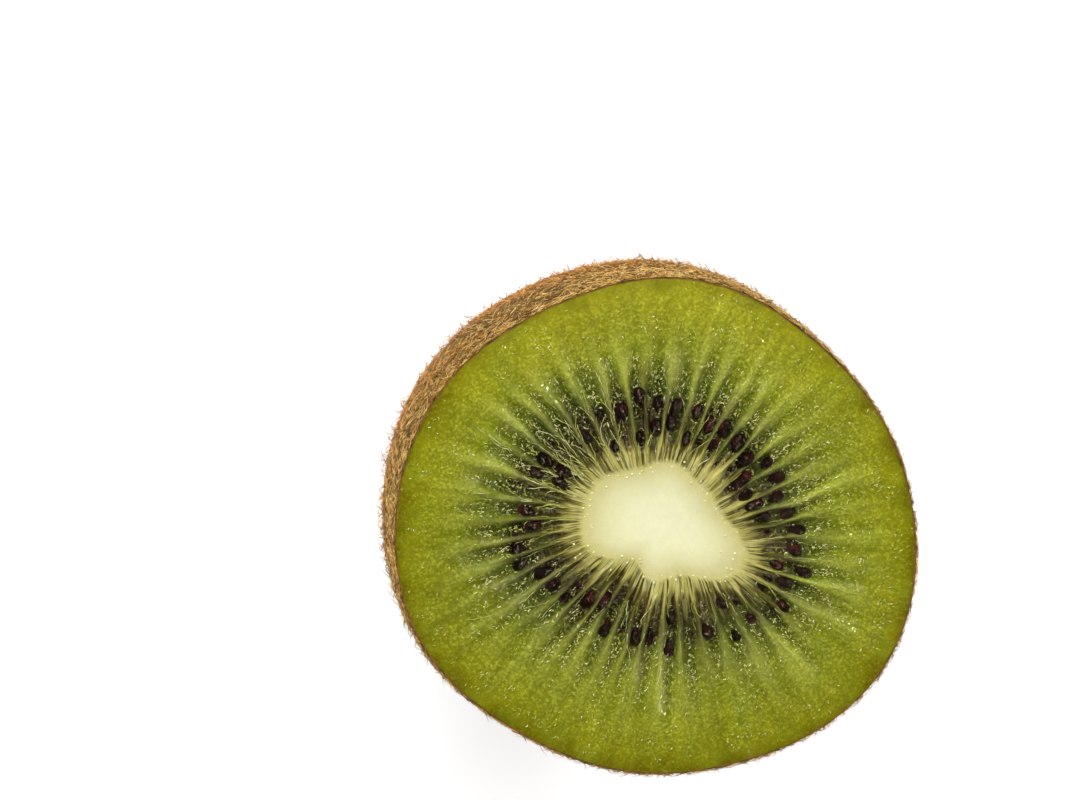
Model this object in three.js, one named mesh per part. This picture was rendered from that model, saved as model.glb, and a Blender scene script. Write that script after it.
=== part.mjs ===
// Kiwi fruit half, cut across its middle. It rests on its stem end with the cut face up.
// Millimetres, +Z up. The origin is at the bottom, in the middle of the outline's box.
// Two closed solids: the flesh with its skin, and the pale core that runs down through it.

import * as THREE from "three";

// ---- Driving dimensions ----

const HEIGHT = 32; // from the stem end to the cut face
const FRUIT_RADIUS = 25.35; // mean radius of the cut face
// Shallow waves round an outline: [how many, how high, direction of one crest in degrees].
const FRUIT_WAVES = [[2, 1.45, 0], [3, 0.48, -7], [4, 0.15, 13], [6, 0.18, -4]];
const FULLNESS = 2.2; // side profile: 2 is an ellipse, more is barrel-shaped
const REST_RADIUS = 6.5; // flat spot at the stem end
const PIT_RADIUS = 2.2; // where the stalk came away
const PIT_DEPTH = 1;
const PIT_TAPER = 0.75; // the pit's roof against its mouth

const CORE_CENTRE = [-0.45, 0.9];
const CORE_RADIUS = 6.9;
const CORE_WAVES = [[2, 1.65, 6], [3, 0.65, -13], [4, 0.45, 13], [5, 0.42, 5], [6, 0.43, -4]];
const CORE_DEPTH = 26; // from the cut face down to the tip
const GAP = 0.3; // between the core and its pocket

const STEPS_ROUND = 72;
const STEPS_SIDE = 14;
const STEPS_CORE = 8;

// ---- Outlines ----

const radians = THREE.MathUtils.degToRad;

/** Height of all the waves at angle a: a sum of cosines. */
function waveHeight(waves, a) {
  return waves.reduce((sum, [count, height, crest]) => sum + height * Math.cos(count * (a - radians(crest))), 0);
}

/** A closed ring of points at height z, of radius radiusAt(angle) about a centre. */
function ring(radiusAt, z, [cx, cy] = [0, 0]) {
  return Array.from({ length: STEPS_ROUND }, (_, i) => {
    const a = (2 * Math.PI * i) / STEPS_ROUND;
    const r = radiusAt(a);
    return new THREE.Vector3(cx + r * Math.cos(a), cy + r * Math.sin(a), z);
  });
}

// ---- Solids from rings ----

/** A closed solid through a row of rings that goes outwards on top and down the outside, with a point at each end. */
function loft(firstPoint, rings, lastPoint) {
  const points = [firstPoint, ...rings.flat(), lastPoint];
  const last = points.length - 1;
  const faces = [];
  const at = (r, i) => 1 + r * STEPS_ROUND + (i % STEPS_ROUND);
  for (let i = 0; i < STEPS_ROUND; i++) {
    faces.push(0, at(0, i), at(0, i + 1));
    for (let r = 0; r < rings.length - 1; r++) {
      faces.push(at(r, i), at(r + 1, i), at(r, i + 1));
      faces.push(at(r, i + 1), at(r + 1, i), at(r + 1, i + 1));
    }
    faces.push(last, at(rings.length - 1, i + 1), at(rings.length - 1, i));
  }
  const geometry = new THREE.BufferGeometry();
  geometry.setAttribute("position", new THREE.Float32BufferAttribute(points.flatMap((p) => p.toArray()), 3));
  geometry.setIndex(faces);
  geometry.computeVertexNormals();
  return geometry;
}

/** Rings of the core's half ellipse, from near its tip up to the cut face, grown outwards by margin. */
function coreRings(margin) {
  return Array.from({ length: STEPS_CORE }, (_, i) => {
    const turn = (Math.PI / 2) * ((i + 1) / STEPS_CORE);
    const radiusAt = (a) => Math.sin(turn) * (CORE_RADIUS + waveHeight(CORE_WAVES, a) + margin);
    return ring(radiusAt, HEIGHT - (CORE_DEPTH + margin) * Math.cos(turn), CORE_CENTRE);
  });
}

/** Rings of the outside, from the cut edge down a superellipse to the flat spot, growing rounder on the way. */
function sideRings() {
  const restScale = REST_RADIUS / FRUIT_RADIUS;
  const fullDepth = HEIGHT / (1 - restScale ** FULLNESS) ** (1 / FULLNESS);
  const endTurn = Math.acos(restScale ** (FULLNESS / 2));
  return Array.from({ length: STEPS_SIDE + 1 }, (_, i) => {
    const turn = (endTurn * i) / STEPS_SIDE;
    const scale = Math.cos(turn) ** (2 / FULLNESS);
    const depth = i === STEPS_SIDE ? HEIGHT : fullDepth * Math.sin(turn) ** (2 / FULLNESS);
    const waviness = 1 - depth / HEIGHT;
    return ring((a) => scale * (FRUIT_RADIUS + waviness * waveHeight(FRUIT_WAVES, a)), HEIGHT - depth);
  });
}

function fleshGeometry() {
  const pocketTip = new THREE.Vector3(...CORE_CENTRE, HEIGHT - CORE_DEPTH - GAP);
  const pit = [ring(() => PIT_RADIUS, 0), ring(() => PIT_RADIUS * PIT_TAPER, PIT_DEPTH)];
  const pitRoof = new THREE.Vector3(0, 0, PIT_DEPTH);
  return loft(pocketTip, [...coreRings(GAP), ...sideRings(), ...pit], pitRoof);
}

function coreGeometry() {
  const tip = new THREE.Vector3(...CORE_CENTRE, HEIGHT - CORE_DEPTH);
  const faceMiddle = new THREE.Vector3(...CORE_CENTRE, HEIGHT);
  return loft(faceMiddle, coreRings(0).reverse(), tip);
}

// ---- The part ----

function piece(name, geometry, color, roughness) {
  const material = new THREE.MeshStandardMaterial({ color, roughness, metalness: 0 });
  const mesh = new THREE.Mesh(geometry, material);
  mesh.name = name;
  return mesh;
}

const kiwiHalf = new THREE.Group();
kiwiHalf.add(piece("flesh", fleshGeometry(), "#8a9a2c", 0.4));
kiwiHalf.add(piece("core", coreGeometry(), "#ece8bc", 0.45));

// The waves make the outline a little wider on one side, so the middle of its box is set over the origin.
const middle = new THREE.Box3().setFromObject(kiwiHalf, true).getCenter(new THREE.Vector3());
kiwiHalf.position.set(-middle.x, -middle.y, 0);

export default kiwiHalf;
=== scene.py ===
"""Kiwi fruit half, cut face up: the looks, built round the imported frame.

Lengths are millimetres until a mesh is made, which turns them to metres. The cut face is laid out by two
parameters: `turn`, the angle at which a ray meets the rind, and `across`, which is -1 in the middle of the
core, 0 on the core's border and 1 at the rind. The side is laid out by `turn` and `down`, the distance from
the cut along the side's profile.
"""

from functools import partial
from types import SimpleNamespace

import bpy
import numpy as np
from bpy.props import FloatProperty, FloatVectorProperty, IntProperty, PointerProperty
from mathutils import Matrix, Vector


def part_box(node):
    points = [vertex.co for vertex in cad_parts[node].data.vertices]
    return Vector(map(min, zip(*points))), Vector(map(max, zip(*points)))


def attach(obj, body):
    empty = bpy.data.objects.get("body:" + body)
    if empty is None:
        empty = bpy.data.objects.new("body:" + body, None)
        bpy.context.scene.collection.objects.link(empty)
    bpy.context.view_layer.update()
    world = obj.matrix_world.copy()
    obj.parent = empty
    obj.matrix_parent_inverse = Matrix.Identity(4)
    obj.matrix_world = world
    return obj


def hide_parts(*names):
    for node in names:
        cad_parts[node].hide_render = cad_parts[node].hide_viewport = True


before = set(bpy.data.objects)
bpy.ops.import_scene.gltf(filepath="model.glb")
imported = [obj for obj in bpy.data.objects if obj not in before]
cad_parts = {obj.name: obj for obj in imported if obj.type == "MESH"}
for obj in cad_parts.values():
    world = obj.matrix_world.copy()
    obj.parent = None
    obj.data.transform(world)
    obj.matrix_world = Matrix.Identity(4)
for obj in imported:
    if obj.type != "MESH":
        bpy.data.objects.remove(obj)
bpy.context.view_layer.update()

bl_info = {
    "name": "Kiwi fruit half",
    "version": (1, 0, 0),
    "blender": (4, 5, 0),
    "location": "View3D > Sidebar > Kiwi",
    "description": "Builds the flesh, core, seeds, rind and fuzz of a cut kiwi fruit",
    "category": "Object",
}

MM = 0.001
FLESH_BOX = np.array(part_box("flesh")) / MM

# Shallow waves round an outline: how many, how high in mm, direction of one crest in degrees.
FRUIT_WAVES = ((2, 1.45, 0), (3, 0.48, -7), (4, 0.15, 13), (6, 0.18, -4))
CORE_WAVES = ((2, 1.65, 6), (3, 0.65, -13), (4, 0.45, 13), (5, 0.42, 5), (6, 0.43, -4))
# The same for how far a ray's start on the core's border is turned from its end, in degrees.
FAN_WAVES = ((1, 3.5, -155), (2, 10.4, -39), (3, 2.0, -35))
CORE_CENTRE = np.array([-0.45, 0.9])
# The seed chambers, anticlockwise from the first wall: seeds that show in each, and its width in half degrees
# over 5.5 degrees.
FIRST_WALL = 1.9
SEEDS_SHOWING = "12112223112122221210022011111111120112012101"
CHAMBER_WIDTHS = "88654555645549755672336787445556272374886866"
CHAMBERS = len(SEEDS_SHOWING)
# Where the face differs round the fruit, in degrees anticlockwise from +X.
LIT_SIDE, SHADED_SIDE = 122, 240  # flesh under the rind painted lighter and yellower towards the light, and riper there, and painted shade on the far side
PULP_SIDE = 165  # the dark pulp lies further out
BROAD_WALL_SIDE = 285  # the pale walls are wider
FAR_SEED_SIDE = 219  # the seeds lie further out
CORE_DENT = 264  # pith fills a dent in the core's outline
BUNCH_CHAMBERS = (17, 25)  # a bright bunch of threads, partly painted highlights, lies on the walls from the first to before the last
WET_IOR = 1.36  # of fruit juice


def linear(hex_colour):
    """The linear RGB of an sRGB hex colour."""
    srgb = np.array([int(hex_colour[i : i + 2], 16) for i in (1, 3, 5)]) / 255
    return tuple(np.where(srgb <= 0.04045, srgb / 12.92, ((srgb + 0.055) / 1.055) ** 2.4))


def colour(name, description, hex_colour):
    """A colour property whose default is an sRGB hex colour."""
    return FloatVectorProperty(
        name=name, description=description, subtype="COLOR", min=0, max=1, default=linear(hex_colour)
    )


def mm_length(name, description, mm):
    """A length property whose default is given in mm."""
    return FloatProperty(name=name, description=description, unit="LENGTH", min=0, default=mm * MM)


def hair_count(name, description, count):
    """A property that counts hairs."""
    return IntProperty(name=name, description=description, min=0, default=count)


def in_mm(group):
    """A property group's values, with its lengths in mm."""
    values = SimpleNamespace()
    for item in group.bl_rna.properties:
        if item.identifier not in ("rna_type", "name"):
            value = getattr(group, item.identifier)
            setattr(values, item.identifier, value / MM if item.unit == "LENGTH" else value)
    return values


# ---- What a user can change ----


class KiwiShape(bpy.types.PropertyGroup):
    """The fruit's driving sizes."""

    height: mm_length("Height", "From the stem end to the cut face", FLESH_BOX[1][2])
    radius: mm_length("Radius", "Mean radius of the cut face", 25.35)
    fullness: FloatProperty(name="Fullness", description="Side profile: 2 is an ellipse", min=1, default=2.2)
    rest_radius: mm_length("Flat spot", "Radius of the flat spot it rests on", 6.5)
    core_radius: mm_length("Core radius", "Mean radius of the core", 6.9)
    core_depth: mm_length("Core depth", "From the cut face to the core's tip", 26.0)
    rind: mm_length("Rind", "Thickness of the rind", 0.14)
    seed_length: mm_length("Seed length", "Mean length of a seed", 1.95)


class KiwiFuzz(bpy.types.PropertyGroup):
    """The hairs on the rind."""

    length: mm_length("Length", "Mean length of a hair", 1.4)
    width: mm_length("Width", "Width of a hair at its root", 0.08)
    edge_count: hair_count("Edge hairs", "Short hairs along the cut edge", 2600)
    upper_count: hair_count("Upper hairs", "Hairs in each of the two upper bands", 12300)
    lower_count: hair_count("Lower hairs", "Hairs in the lower band", 11000)
    base_count: hair_count("Base hairs", "Hairs round the stem end", 6500)
    seed: IntProperty(name="Seed", description="Random seed", default=7)


class KiwiColours(bpy.types.PropertyGroup):
    """The finishes' main colours."""

    core: colour("Core", "Creamy middle of the core", "#F6F3C6")
    flesh: colour("Flesh", "Green of the outer flesh", "#90921C")
    seed: colour("Seed", "Maroon-black seed coat", "#1D080A")
    rind: colour("Rind", "Olive-brown ground of the rind", "#4A3E13")
    fuzz: colour("Fuzz", "Tan hairs", "#B07C22")
    scar: colour("Scar", "Dry woody stem scar", "#4A3320")


# ---- Arrays: outlines, noise and masks ----


def smooth(low, high, x):
    """A smooth step: 0 below low, 1 above high, and a cubic ease between them."""
    s = np.clip((x - low) / (high - low), 0, 1)
    return s * s * (3 - 2 * s)


def value_noise(x, y, seed, size=64):
    """Noise from 0 to 1: random heights at whole numbers, eased between them, that repeat after `size`."""
    table = np.random.default_rng(seed).random((size, size))
    column, row = np.floor(x).astype(int), np.floor(y).astype(int)
    fx, fy = smooth(0, 1, x - column), smooth(0, 1, y - row)
    c0, c1, r0, r1 = column % size, (column + 1) % size, row % size, (row + 1) % size
    low = table[r0, c0] * (1 - fx) + table[r0, c1] * fx
    high = table[r1, c0] * (1 - fx) + table[r1, c1] * fx
    return low * (1 - fy) + high * fy


def wave_height(turn, waves):
    """The sum of an outline's waves: each is its height times the cosine of so many times the angle."""
    return sum(height * np.cos(count * (turn - np.radians(crest))) for count, height, crest in waves)


def round_angles(count):
    """So many angles, evenly round a circle."""
    return np.linspace(0, 2 * np.pi, count, endpoint=False)


def on_circle(turn, radius):
    """Points at a radius and an angle, in the plane of the cut."""
    return np.stack([radius * np.cos(turn), radius * np.sin(turn)], -1)


def at_height(flat, height):
    """Points of the plane, each at its own height or all at one."""
    return np.concatenate([flat, np.broadcast_to(height, flat.shape[:-1])[..., None]], -1)


def fruit_axis(shape):
    """Where the fruit's own axis stands, with the middle of the outline's box at the origin."""
    turn = round_angles(72)
    outline = on_circle(turn, shape.radius + wave_height(turn, FRUIT_WAVES))
    return -(outline.min(0) + outline.max(0)) / 2


def cut_point(turn, across, shape):
    """A point of the cut face from above: on a ray from the core's border to the rind, or in the core."""
    start = turn + np.radians(wave_height(turn, FAN_WAVES))
    border = on_circle(start, shape.core_radius + wave_height(start, CORE_WAVES))
    rim = on_circle(turn, shape.radius - shape.rind / 2 + wave_height(turn, FRUIT_WAVES))
    outside, inside = np.clip(across, 0, 1)[..., None], np.clip(across + 1, 0, 1)[..., None]
    ray = (CORE_CENTRE + border) * (1 - outside) + rim * outside
    return np.where(across[..., None] < 0, CORE_CENTRE + border * inside, ray) + fruit_axis(shape)


def chamber_plan():
    """The angles of the walls between the seed chambers, and what each chamber has of its own.

    That is where it starts and ends, how dark and how wide it is, and how pale its first wall is.
    """
    rng = np.random.default_rng(11)
    widths = 5.5 + np.array([int(digit) for digit in CHAMBER_WIDTHS]) / 2
    shares = np.concatenate([[0], np.cumsum(widths)]) / widths.sum()
    return {
        "walls": np.radians(FIRST_WALL) + shares * 2 * np.pi,
        "start": rng.uniform(-0.02, 0.06, CHAMBERS),
        "end": rng.uniform(0.56, 0.76, CHAMBERS),
        "dark": rng.uniform(0.7, 1.0, CHAMBERS),
        "wide": rng.uniform(0.41, 0.5, CHAMBERS),
        "pale": rng.uniform(0.4, 1.0, CHAMBERS),
    }


PLAN = chamber_plan()


def pulp_reach(turn, across):
    """How far out the dark pulp lies over its mean: most on one side, and nothing at core and rind."""
    more = 0.055 * np.cos(turn - np.radians(PULP_SIDE))
    return more * smooth(0.18, 0.36, across) * (1 - smooth(0.5, 0.8, across))


def chamber_masks(turn, across):
    """How far each point of the face is inside a dark chamber, and how far on a pale wall, both from 0 to 1.

    A chamber is a flame along its sector: fattest near its seeds and drawn out to a point outwards. A wall is
    a bell curve over the border of two sectors that widens and fades outwards. Slow noise makes both wander.
    `f` runs from 0 to 1 between the walls of chamber `k`.
    """
    across = across - pulp_reach(turn, across)
    wander = value_noise(9 * np.cos(turn) + 4 * across + 9, 9 * np.sin(turn) - 3 * across + 9, 21) - 0.5
    first = PLAN["walls"][0]
    warped = (turn - first + 0.045 * wander * smooth(0.0, 0.3, across)) % (2 * np.pi) + first
    k = np.clip(np.searchsorted(PLAN["walls"], warped, side="right") - 1, 0, CHAMBERS - 1)
    f = (warped - PLAN["walls"][k]) / (PLAN["walls"][k + 1] - PLAN["walls"][k])
    start, end = PLAN["start"][k], PLAN["end"][k]
    half_width = PLAN["wide"][k] * (0.5 + 0.5 * smooth(start, 0.14, across))
    half_width *= 1 - 0.4 * smooth(0.28, end, across)
    soft = 0.1 + 0.2 * smooth(0.12, 0.5, across)
    chamber = smooth(-1, 1, (half_width - abs(f - 0.5)) / soft) * PLAN["dark"][k]
    chamber *= smooth(start, start + 0.1, across) * (1 - 0.25 * smooth(0.3, 0.48, across))
    chamber *= 1 - smooth(end - 0.25, end + 0.1, across)
    nearest = np.where(f < 0.5, f, 1 - f)
    strength = np.where(f < 0.5, PLAN["pale"][k], PLAN["pale"][(k + 1) % CHAMBERS])
    wall_width = 0.11 + 0.12 * (1 - smooth(0.04, 0.18, across)) + 0.27 * np.clip(across, 0, 1)
    wall_width += 0.06 * smooth(0.2, 0.9, np.cos(turn - np.radians(BROAD_WALL_SIDE)))
    wall = np.exp(-((nearest / wall_width) ** 2))
    chamber *= 1 - 0.65 * wall
    wall *= strength * smooth(-0.02, 0.05, across)
    wall *= (1 - 0.15 * smooth(0.4, 0.7, across)) * (1 - smooth(0.66, 0.95, across))
    return chamber, wall


def cut_relief(turn, across, shape):
    """Height of the cut face over its plane: chambers sink, walls stand up and the flesh is lumpy."""
    x, y = np.moveaxis(cut_point(turn, across, shape), -1, 0)
    chamber, wall = chamber_masks(turn, across)
    flesh = smooth(0.0, 0.12, across)
    slow = value_noise(x / 5.5 + 20, y / 5.5 + 20, 31) - 0.5
    lumps = value_noise(x / 1.3 + 40, y / 1.3 + 40, 33, 96) - 0.5
    return 0.2 * slow + flesh * (0.05 * lumps + 0.1 * wall - 0.3 * chamber)


def side_profile(shape, steps=600):
    """The side's profile from the cut to the stem end: length along it, width over the cut's, and depth.

    Width and depth follow a superellipse that is cut off flat where it has narrowed to the flat spot.
    """
    rest = shape.rest_radius / shape.radius
    full_depth = shape.height / (1 - rest**shape.fullness) ** (1 / shape.fullness)
    turn = np.linspace(0, 1, steps) ** 1.6 * np.arccos(rest ** (shape.fullness / 2))
    wide, depth = np.cos(turn) ** (2 / shape.fullness), full_depth * np.sin(turn) ** (2 / shape.fullness)
    length = np.concatenate([[0], np.cumsum(np.hypot(np.diff(wide * shape.radius), np.diff(depth)))])
    return length, wide, depth


def side_point(turn, down, shape, grow=0.0):
    """A point of the side, `down` mm from the cut along the profile, grown sideways by `grow` mm."""
    length, wide, depth = side_profile(shape)
    w, d = np.interp(down, length, wide), np.interp(down, length, depth)
    waviness = 1 - d / shape.height
    radius = w * (shape.radius + waviness * wave_height(turn, FRUIT_WAVES)) + grow
    return at_height(on_circle(turn, radius) + fruit_axis(shape), shape.height - d)


def side_normal(turn, down, shape):
    """The outward unit normal of the side: the cross product of its two slopes."""
    step = 0.02
    round_way = side_point(turn + step, down, shape) - side_point(turn - step, down, shape)
    down_way = side_point(turn, down + step, shape) - side_point(turn, np.maximum(down - step, 0), shape)
    return unit(np.cross(down_way, round_way))


def unit(vectors):
    """The vectors at length 1."""
    return vectors / (np.linalg.norm(vectors, axis=-1, keepdims=True) + 1e-12)


# ---- Meshes ----


def put_mesh(name, points, faces, material, values=None, uv=None, sharp=None):
    """Make a piece from points in mm and arrays of faces, with point attributes, and let it ride on the root.

    Edges that turn more than `sharp` radians are shaded as edges; without it, all are shaded smooth.
    """
    mesh = bpy.data.meshes.new(name)
    mesh.vertices.add(len(points))
    mesh.vertices.foreach_set("co", (np.asarray(points, float) * MM).astype(np.float32).ravel())
    corners = np.concatenate([part.ravel() for part in faces]).astype(np.int32)
    sizes = np.concatenate([np.full(len(part), part.shape[1]) for part in faces])
    mesh.loops.add(len(corners))
    mesh.loops.foreach_set("vertex_index", corners)
    mesh.polygons.add(len(sizes))
    mesh.polygons.foreach_set("loop_start", np.concatenate([[0], np.cumsum(sizes)[:-1]]).astype(np.int32))
    mesh.polygons.foreach_set("use_smooth", np.ones(len(sizes), bool))
    mesh.update(calc_edges=True)
    if sharp:
        mesh.set_sharp_from_angle(angle=sharp)
    for key, value in (values or {}).items():
        kind, field = ("FLOAT", "value") if value.ndim == 1 else ("FLOAT_VECTOR", "vector")
        mesh.attributes.new(key, kind, "POINT").data.foreach_set(field, value.astype(np.float32).ravel())
    if uv is not None:
        mesh.uv_layers.new(name="OFBake").data.foreach_set("uv", uv.astype(np.float32).ravel())
    mesh.materials.append(material)
    piece = bpy.data.objects.new(name, mesh)
    bpy.context.scene.collection.objects.link(piece)
    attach(piece, "root")
    return piece


def loft(first, rings, last):
    """Points and faces of a closed solid through rings that go outwards on top and down the outside.

    Each ring is a row of points; first and last are the single points that close the two ends. It also gives
    each face corner's place in the grid, as (ring, column), for unwrapping.
    """
    count, columns = rings.shape[:2]
    points = np.concatenate([[first], rings.reshape(-1, 3), [last]])
    ring, column = (part.ravel() for part in np.indices((count - 1, columns)))
    corner_ring = np.stack([ring, ring + 1, ring + 1, ring], 1)
    corner_column = np.stack([column, column, column + 1, column + 1], 1)
    quads = 1 + corner_ring * columns + corner_column % columns
    i = np.arange(columns)
    end = (count - 1) * columns + 1
    start_fan = np.stack([0 * i, 1 + i, 1 + (i + 1) % columns], 1)
    end_fan = np.stack([0 * i + len(points) - 1, end + (i + 1) % columns, end + i], 1)
    first_corners = np.stack([i + 0.5, i, i + 1], 1).ravel()
    last_corners = np.stack([i + 0.5, i + 1, i], 1).ravel()
    grid = np.concatenate(
        [
            np.stack([corner_ring, corner_column], -1).reshape(-1, 2),
            np.stack([np.tile([-1, 0, 0], columns), first_corners], 1),
            np.stack([np.tile([count, count - 1, count - 1], columns), last_corners], 1),
        ]
    )
    return points, [quads, start_fan, end_fan], grid


def between_rings(grid, columns, low, high):
    """Whether each face corner of a loft is on a face that lies wholly between two of its rings."""
    fans = 6 * columns
    parts = grid[:-fans, 0].reshape(-1, 4), grid[-fans:, 0].reshape(-1, 3)
    return np.concatenate([np.repeat((p.min(1) >= low) & (p.max(1) <= high), p.shape[1]) for p in parts])


def copies(points, faces, count):
    """The faces of `count` equal solids whose points follow one another."""
    shift = np.arange(count)[:, None, None] * points
    return [(part[None] + shift).reshape(-1, part.shape[1]) for part in faces]


def strands(paths, radii, up):
    """Closed three-sided needles along paths: rings round all points but the last, which is the tip.

    Each ring stands across the path, with one corner turned to `up`. It also gives the points per needle.
    """
    count, steps = paths.shape[:2]
    tangent = unit(np.gradient(paths, axis=1))
    side = unit(np.cross(tangent, up[:, None]))
    over = np.cross(side, tangent)
    corners = round_angles(3)
    spread = np.cos(corners)[:, None] * over[:, :-1, None] + np.sin(corners)[:, None] * side[:, :-1, None]
    rings = paths[:, :-1, None] + radii[:, :-1, None, None] * spread
    points = np.concatenate([rings.reshape(count, -1, 3), paths[:, -1:]], 1)
    per = points.shape[1]
    ring, corner = (part.ravel() for part in np.indices((steps - 2, 3)))
    after = (corner + 1) % 3
    quads = np.stack([ring * 3 + corner, ring * 3 + after, ring * 3 + 3 + after, ring * 3 + 3 + corner], 1)
    last = (steps - 2) * 3
    tip = np.array([[last, last + 1, per - 1], [last + 1, last + 2, per - 1], [last + 2, last, per - 1]])
    return points.reshape(-1, 3), copies(per, (quads, tip, np.array([[0, 2, 1]])), count), per


# ---- Materials ----


def opaque(tint):
    """A colour with alpha 1, from sRGB hex or linear RGB."""
    return (*(linear(tint) if isinstance(tint, str) else tint), 1)


def add_node(tree, kind, *values, out=None, stops=(), **named):
    """Add a node and give one of its outputs: the one named by `out`, or the first in use.

    The values go to the inputs in use, in order. A name with a capital letter is an input too, and any other
    is a property of the node. A value is a number, an sRGB hex colour or an output of another node. Stops are
    pairs of (place, colour) for a colour ramp.
    """
    made = tree.nodes.new("ShaderNode" + kind)
    for name, value in named.items():
        if name[0].islower():
            setattr(made, name, value)
    if stops:
        elements = made.color_ramp.elements
        while len(elements) < len(stops):
            elements.new(0.5)
        for element, (place, tint) in zip(elements, stops):
            element.position, element.color = place, opaque(tint)
    pairs = list(zip((socket for socket in made.inputs if socket.enabled), values))
    pairs += [(made.inputs[name], value) for name, value in named.items() if name[0].isupper()]
    for socket, value in pairs:
        if isinstance(value, bpy.types.NodeSocket):
            tree.links.new(value, socket)
        else:
            socket.default_value = opaque(value) if isinstance(value, str) else value
    return made.outputs[out] if out else next((socket for socket in made.outputs if socket.enabled), None)


def material_of(name, build, *args, **options):
    """A material from a function that adds its nodes with `node` and gives its shader."""
    material = bpy.data.materials.new(name)
    material.use_nodes = True
    tree = material.node_tree
    tree.nodes.clear()
    add_node(tree, "OutputMaterial", build(partial(add_node, tree), *args, **options))
    return material


def product(node, *values):
    """The product of all the values."""
    result = values[0]
    for value in values[1:]:
        result = node("Math", result, value, operation="MULTIPLY")
    return result


def tinted(node, at, *stops):
    """Colours along a value, from pairs of (value, colour), where a colour is sRGB hex or linear RGB."""
    low, high = stops[0][0], stops[-1][0]
    places = [((value - low) / (high - low), tint) for value, tint in stops]
    return node("ValToRGB", node("MapRange", at, low, high), stops=places)


def wobbled(node, place, per_mm, reach):
    """A place pushed about by noise of so many bumps per mm, by up to `reach` mm."""
    push = node("TexNoise", place, per_mm / MM, out="Color")
    return node("VectorMath", push, (reach * MM,) * 3, place, operation="MULTIPLY_ADD")


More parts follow.
